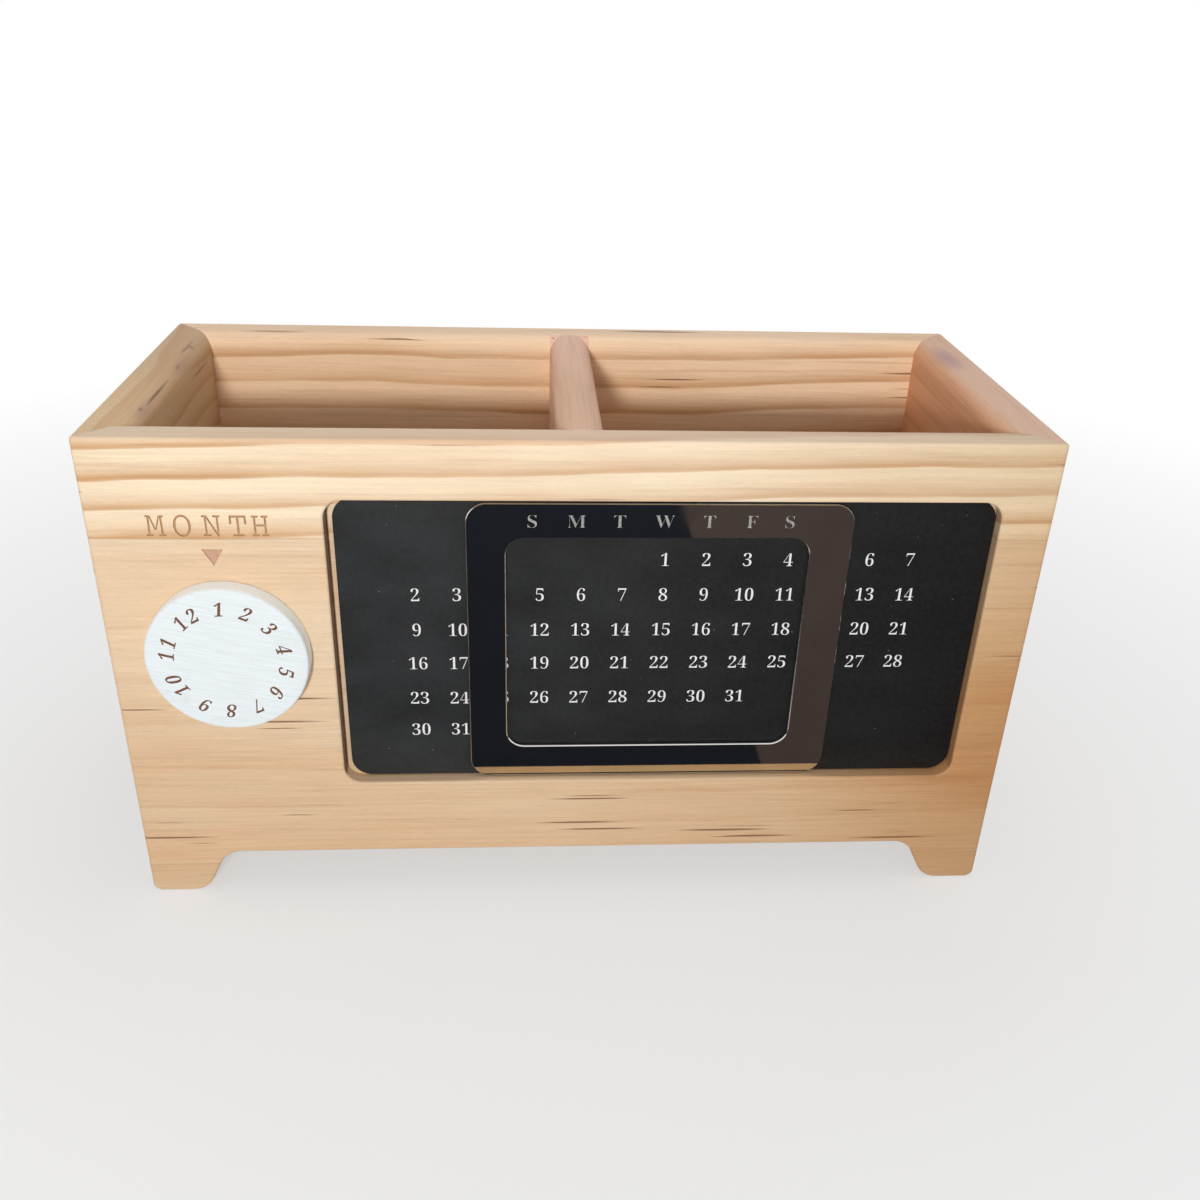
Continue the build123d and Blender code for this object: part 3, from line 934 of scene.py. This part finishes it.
# %% Print the days on the plate
first_column_x = -35.0 * mm
column_pitch = 8.86 * mm
row_heights = [86.6 * mm, 78.2 * mm, 69.6 * mm, 61.2 * mm, 52.2 * mm, 43.8 * mm]
digit_height = 3.05 * mm
digit_width = 0.90
digit_thinning = 0.075 * mm
ink_thickness = 0.03 * mm
week_length, column_count, last_day = 7, 13, 31
first_day_column = 6

plate_low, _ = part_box("calendar_plate")
days = []
for row, row_z in enumerate(row_heights):
    for column in range(column_count):
        day = week_length * row + column - first_day_column + 1
        if not 1 <= day <= last_day:
            continue
        number = type_solid(
            str(day), digit_height, ink_thickness, print_white, width=digit_width, thin=digit_thinning
        )
        column_x = first_column_x + column * column_pitch
        days.append(put(number, (column_x, plate_low.y - ink_thickness / 2, row_z)))
day_print = join(days, "day_print")
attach(day_print, "case")
print("printed", len(days), "days with", len(day_print.data.vertices), "points")

# %% [markdown]
# ## The sliding frame
#
# The real frame is cut from sheet steel and polished, its front edges are bevelled, and the initials are
# etched into its top border. It starts as a flat block with rounded corners, and the window is cut with a
# second rounded block. The solid model's frame has the same size, so this one stands for it.

# %% Frame blank and window
frame_low, frame_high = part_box("slider_frame")
frame_corner = 4.5 * mm
window_corner = 4.0 * mm
frame_left, frame_right, frame_top, frame_bottom = 8.3 * mm, 8.9 * mm, 7.9 * mm, 8.2 * mm
frame_bevel = 0.2 * mm
corner_steps = 12


def rounded_block(low, high, corner, name, *finishes):
    """A block between two corners whose four edges from front to back are rounded."""
    bpy.ops.object.select_all(action="DESELECT")
    bpy.ops.mesh.primitive_cube_add(size=1, location=(low + high) / 2, scale=high - low)
    block = set_in_place(bpy.context.object, name, *finishes)
    pick_edges(block, lambda a, b: abs(a.y - b.y) > (high.y - low.y) / 2)
    bpy.ops.mesh.bevel(offset=corner, offset_type="OFFSET", segments=corner_steps, affect="EDGES")
    leave_edit()
    return block


slider = rounded_block(frame_low, frame_high, frame_corner, "etched_frame", mirror_face, bare_edge)
window_low = frame_low.copy()
window_high = frame_high.copy()
window_low.x += frame_left
window_high.x -= frame_right
window_low.z += frame_bottom
window_high.z -= frame_top
tool_overshoot = 1 * mm
window_low.y -= tool_overshoot
window_high.y += tool_overshoot
window_tool = rounded_block(window_low, window_high, window_corner, "window_tool", bare_edge)
cut(slider, window_tool)
print("frame blank:", len(slider.data.polygons), "faces")

# %% [markdown]
# The bevel runs round both outlines of the front face. It is one narrow flat face and not a round, as a
# file leaves it, and it gets the second finish of the frame, the bare steel. Only sharp edges are picked,
# because the flat face itself is full of edges that must stay where they are.

# %% Bevel the frame's front edges
face_y = frame_low.y
near_face = 0.001 * mm
pick_edges(
    slider,
    lambda a, b: abs(a.y - face_y) < near_face and abs(b.y - face_y) < near_face,
    sharp_only=True,
)
bpy.ops.mesh.bevel(offset=frame_bevel, offset_type="OFFSET", segments=1, affect="EDGES", material=1)
leave_edit()
print("bevelled frame:", len(slider.data.polygons), "faces")

# %% [markdown]
# On the real frame the initials are etched, which leaves them sunk by less than a tenth of a millimetre
# with a grey, pitted ground. Each letter is a thin solid that stands half in the face, and all of them
# are cut out in one go. They are not quite evenly spaced, so each has its measured place.

# %% Etch the weekday initials
initial_places = [("S", -10.1), ("M", -0.9), ("T", 8.1), ("W", 17.5), ("T", 26.9), ("F", 35.9), ("S", 43.9)]
initial_height = 2.9 * mm
initial_width = 1.03
initial_thinning = 0.05 * mm
initial_z = 95.9 * mm
etch_depth = 0.06 * mm

initials = []
for letter, x in initial_places:
    initial = type_solid(
        letter, initial_height, 2 * etch_depth, etched_steel, width=initial_width, thin=initial_thinning
    )
    initials.append(put(initial, (x * mm, face_y, initial_z)))
cut(slider, join(initials, "initials_tool"))
bevel_crisp_from = 20
smooth_by_angle(slider, bevel_crisp_from)
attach(slider, "slider")
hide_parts("slider_frame")
slider_finishes = [material.name for material in slider.data.materials]
print("etched frame:", len(slider.data.polygons), "faces, finishes", slider_finishes)

# %% [markdown]
# ## The month dial
#
# The dial is a turned wooden disc with a rounded rim, painted white. A cylinder is laid on its side and
# its front rim is bevelled round. The hole for the spindle needs no Boolean: it is an inset of the back
# face that is pushed in.

# %% Dial disc
dial_low, dial_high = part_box("month_dial")
dial_middle = (dial_low + dial_high) / 2
dial_radius = (dial_high.x - dial_low.x) / 2
dial_depth = dial_high.y - dial_low.y
rim_round = 0.6 * mm
rim_sides = 144
hole_radius = 4.05 * mm
hole_depth = 2.3 * mm

bpy.ops.object.select_all(action="DESELECT")
bpy.ops.mesh.primitive_cylinder_add(
    vertices=rim_sides,
    radius=dial_radius,
    depth=dial_depth,
    location=dial_middle,
    rotation=(radians(90), 0, 0),
)
dial = set_in_place(bpy.context.object, "painted_dial", dial_white)
pick_edges(dial, lambda a, b: max(a.y, b.y) < dial_middle.y)
bpy.ops.mesh.bevel(offset=rim_round, offset_type="OFFSET", segments=4, affect="EDGES")
leave_edit()
pick_faces(dial, lambda middle, normal: normal.y > 0.9)
bpy.ops.mesh.inset(thickness=dial_radius - hole_radius)
bpy.ops.mesh.extrude_region_move(TRANSFORM_OT_translate={"value": (0, -hole_depth, 0)})
leave_edit()
print("dial disc:", len(dial.data.polygons), "faces")

# %% [markdown]
# The twelve month numbers stand round the rim with their tops outwards, and each is burnt a little way
# into the face. They are set digit by digit, so that the two digits of ten, eleven and twelve follow the
# curve of the rim. Every digit is turned by its own angle and cut in as a shallow recess that keeps its
# brown finish.

# %% Burn in the numerals
numeral_ring = 12.4 * mm
numeral_height = 3.1 * mm
numeral_width = 0.88
numeral_slant = 0.20
burn_depth = 0.10 * mm
number_step = radians(26.25)
digit_step = radians(15.0)
turn = radians(-2.0)

numerals = []
for month in range(1, 13):
    for place, digit in enumerate(str(month)):
        if place == 1:
            turn += digit_step
        numeral = type_solid(
            digit, numeral_height, 2 * burn_depth, burnt_brown, width=numeral_width, slant=numeral_slant
        )
        spot_x = dial_middle.x + numeral_ring * sin(turn)
        spot_z = dial_middle.z + numeral_ring * cos(turn)
        numerals.append(put(numeral, (spot_x, dial_low.y, spot_z), turn))
    turn += number_step
cut(dial, join(numerals, "numerals_tool"))
smooth_by_angle(dial)
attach(dial, "dial")
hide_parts("month_dial")
print("painted dial:", len(dial.data.polygons), "faces")

# %% [markdown]
# ## The engraved front board
#
# Above the dial the wood is engraved with a word and a small pointer. The word is set letter by letter,
# at the places measured in the photograph. The pointer's tool is a cylinder with three sides, laid on its
# side so that one point looks down to the dial.

# %% Label and pointer as cutting tools
board_low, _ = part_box("front_board")
label_depth = 0.25 * mm
label_width = 0.84
label_thinning = 0.05 * mm
label_places = [("M", -85.9), ("O", -80.6), ("N", -74.8), ("T", -69.5), ("H", -65.1)]
label_middle_z = 95.4 * mm
label_height = 4.7 * mm

tools = []
for letter, x in label_places:
    tool = type_solid(
        letter, label_height, 2 * label_depth, label_brown, typewriter,
        width=label_width, thin=label_thinning,
    )
    tools.append(put(tool, (x * mm, board_low.y, label_middle_z)))

pointer_middle = (-75.3 * mm, board_low.y, 88.9 * mm)
pointer_reach = 2.5 * mm
bpy.ops.object.select_all(action="DESELECT")
bpy.ops.mesh.primitive_cylinder_add(
    vertices=3,
    radius=pointer_reach,
    depth=2 * label_depth,
    location=pointer_middle,
    rotation=(radians(-90), 0, 0),
)
pointer_tool = set_in_place(bpy.context.object, "pointer_tool", pointer_brown)
point_heights = [point.co.z for point in pointer_tool.data.vertices]
print("pointer from", round(min(point_heights) / mm, 1), "to", round(max(point_heights) / mm, 1), "mm up")

# %% [markdown]
# The solid board itself stays as it is, and a copy of it is engraved. A loaded solid is loose triangles,
# which a Boolean can't cut cleanly, so the copy's points are merged first, and its stored normals are
# cleared because new ones follow from the new edges.

# %% Engrave a merged copy of the front board
def merged_copy(node, name, finish):
    """A copy of a loaded solid with its triangles joined up, ready to be cut."""
    copy = nodes[node].copy()
    copy.data = nodes[node].data.copy()
    copy.parent = None
    bpy.context.scene.collection.objects.link(copy)
    copy.data.materials.clear()
    copy = set_in_place(copy, name, finish)
    for key in [key for key in copy.keys() if key.startswith("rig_")]:
        del copy[key]
    bpy.ops.object.mode_set(mode="EDIT")
    bpy.ops.mesh.select_all(action="SELECT")
    bpy.ops.mesh.remove_doubles(threshold=0.001 * mm)
    bpy.ops.mesh.customdata_custom_splitnormals_clear()
    leave_edit()
    return copy


board = merged_copy("front_board", "engraved_front", front_pine)
cut(board, join([*tools, pointer_tool], "label_tool"))
smooth_by_angle(board)
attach(board, "case")
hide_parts("front_board")
print("engraved board:", len(board.data.polygons), "faces")

# %% [markdown]
# ## The screw's cross recess
#
# Inside the left compartment, a screw holds the dial's spindle. Its head has a cross recess for the
# driver: two crossed blocks are cut out of a merged copy of the screw, each narrow and as deep as a
# driver's tip reaches.

# %% Cut the cross recess
screw_low, screw_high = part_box("spindle_screw")
screw_middle = (screw_low + screw_high) / 2
recess_length, recess_width, recess_depth = 3.2 * mm, 0.75 * mm, 1.1 * mm

screw = merged_copy("spindle_screw", "cross_screw", zinc)
for turned_by in (0, 90):
    bpy.ops.object.select_all(action="DESELECT")
    bpy.ops.mesh.primitive_cube_add(
        size=1,
        location=(screw_middle.x, screw_high.y, screw_middle.z),
        scale=(recess_length, 2 * recess_depth, recess_width),
        rotation=(0, radians(turned_by), 0),
    )
    cut(screw, set_in_place(bpy.context.object, "recess_tool", zinc))
smooth_by_angle(screw)
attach(screw, "dial")
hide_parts("spindle_screw")
print("screw with its recess:", len(screw.data.polygons), "faces")

# %% [markdown]
# ## Finishes on the loaded solids
#
# The other solids keep their shapes and only get their finishes.

# %% Assign finishes
finishes = {
    "back_board": back_pine,
    "left_board": left_pine,
    "right_board": right_pine,
    "divider_board": divider_pine,
    "floor_board": ply,
    "calendar_plate": plate_black,
    "plate_tape": tape_film,
    "left_magnet": magnet_strip,
    "right_magnet": magnet_strip,
    "dial_spindle": beech,
    "spindle_washer": zinc,
}
for name, finish in finishes.items():
    solid = nodes[name]
    solid.data.materials.clear()
    solid.data.materials.append(finish)
print("finished", len(finishes), "solids")

# %% [markdown]
#
# The dressed model must stay inside the solid model's box. The solid model's box is written down.

# %% Write the solid model's box
print("solid box", [round(v, 4) for v in (*solid_box[0], *solid_box[1])])
